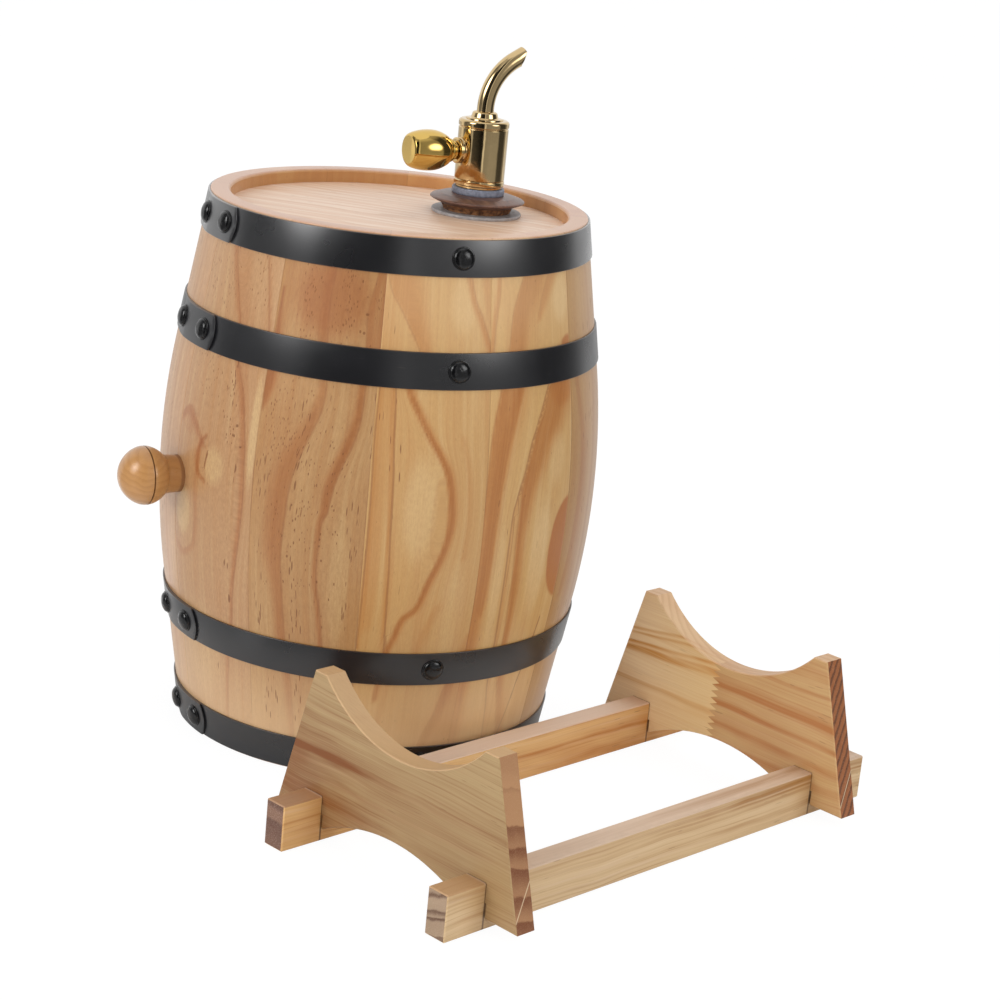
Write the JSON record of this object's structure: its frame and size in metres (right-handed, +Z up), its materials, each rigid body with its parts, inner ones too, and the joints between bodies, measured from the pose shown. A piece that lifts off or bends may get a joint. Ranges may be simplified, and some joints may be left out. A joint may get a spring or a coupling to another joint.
{
  "type": "wooden cask drink dispenser",
  "caption": "Small bellied wooden cask of hooped staves with a plug-cock tap in its front head and a ball bung in its side, beside a two-plate cradle.",
  "frame": {"origin": "on the cask's axis, at the level of the table that its rear stave ends stand on", "axes": "+Z up along the cask's axis towards the tap, +X along the cradle's rails, and the cradle stands on the -Y side of the cask"},
  "size_m": [0.2771, 0.3419, 0.3343],
  "materials": {
    "pine_stave": "satin lacquer",
    "pine_head": "satin lacquer",
    "black_strap": "satin black paint",
    "black_rivet": "gloss black paint",
    "clear_silicone": "translucent",
    "grey_rubber": "matte",
    "stained_wood": "oiled",
    "gold_plate": "mirror plating",
    "brass_plug": "machined",
    "black_rubber": "matte",
    "turned_wood": "lacquered",
    "pine_board": "planed"
  },
  "bodies": {
    "cask": {"stave_01": "pine_stave", "stave_02": "pine_stave", "stave_03": "pine_stave", "stave_04": "pine_stave", "stave_05": "pine_stave", "stave_06": "pine_stave", "stave_07": "pine_stave", "stave_08": "pine_stave", "stave_09": "pine_stave", "stave_10": "pine_stave", "stave_11": "pine_stave", "stave_12": "pine_stave", "front_head": "pine_head", "rear_head": "pine_head", "front_chime_hoop": "black_strap", "front_bilge_hoop": "black_strap", "rear_bilge_hoop": "black_strap", "rear_chime_hoop": "black_strap", "front_chime_rivets": "black_rivet", "front_bilge_rivets": "black_rivet", "rear_bilge_rivets": "black_rivet", "rear_chime_rivets": "black_rivet", "bush_gasket": "clear_silicone", "tap_bush": "stained_wood", "tap_gasket": "grey_rubber", "tap_body": "gold_plate", "spout": "gold_plate", "tap_back_washer": "clear_silicone", "tap_back_nut": "gold_plate", "valve_bonnet": "gold_plate"},
    "valve": {"valve_plug": "brass_plug", "valve_seals": "black_rubber", "tap_knob": "gold_plate"},
    "bung_plug": {"bung": "turned_wood"},
    "cradle": {"near_cradle_plate": "pine_board", "far_cradle_plate": "pine_board", "front_rail": "pine_board", "rear_rail": "pine_board"}
  },
  "joints": [
    {"name": "tap_valve", "type": "hinge", "parent": "cask", "child": "valve", "pos_m": [0.04057, -0.01087, 0.284], "axis": [-0.9659, 0.2588, 0], "range_deg": [0, 90]},
    {"name": "bung_pull", "type": "slide", "parent": "cask", "child": "bung_plug", "axis": [-0.9659, 0.2588, 0], "range_m": [0, 0.03]},
    {"name": "cradle_draw", "type": "slide", "parent": "cask", "child": "cradle", "axis": [0, -1, 0], "range_m": [0, 0.12]}
  ]
}
